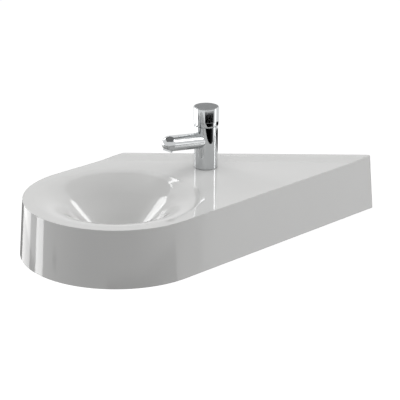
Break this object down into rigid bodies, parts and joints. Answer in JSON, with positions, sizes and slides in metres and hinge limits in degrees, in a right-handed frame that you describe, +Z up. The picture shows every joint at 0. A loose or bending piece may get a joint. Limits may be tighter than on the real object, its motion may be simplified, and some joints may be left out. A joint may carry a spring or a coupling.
{
  "type": "corner basin with push tap",
  "caption": "Wall-hung ceramic basin with a round front turned 45 degrees from its straight back, a sunk round bowl, a push-button pillar tap and a grid waste.",
  "frame": {"origin": "on the wall plane, midway between the two wall-fixing holes", "axes": "+Z up, +Y into the wall, the basin stands out towards -Y, and the bowl lies towards -X"},
  "size_m": [0.8874, 0.5594, 0.3425],
  "materials": {
    "glaze": "gloss white glaze",
    "chrome": "polished chrome plate",
    "brass": "turned brass",
    "steel": "stainless steel",
    "rubber": "black rubber",
    "plastic": "white acetal"
  },
  "bodies": {
    "basin_body": {"basin": "glaze", "tap_gasket": "rubber", "tap_body": "chrome", "collar_ring": "chrome", "aerator_seal": "rubber", "aerator_housing": "chrome", "aerator_insert": "plastic", "tap_shank": "brass", "tap_washer_rubber": "rubber", "tap_washer_steel": "steel", "tap_backnut": "brass", "cartridge_housing": "plastic", "cartridge_cover": "plastic", "cartridge_nut": "brass", "cartridge_seals": "rubber", "return_spring": "steel", "waste_grid_seal": "rubber", "waste_grid": "chrome", "waste_screw": "steel", "waste_tail_seal": "rubber", "waste_tail": "chrome"},
    "push_button": {"push_cap": "chrome", "cap_screw": "steel", "spindle": "steel", "valve_disc": "brass", "valve_rubber_disc": "rubber"}
  },
  "joints": [
    {"name": "cap_press", "type": "slide", "parent": "basin_body", "child": "push_button", "axis": [0, 0, -1], "range_m": [0, 0.006], "stiffness_N_per_m": 1500, "springref_m": -0.005, "deforming": ["return_spring"]}
  ]
}
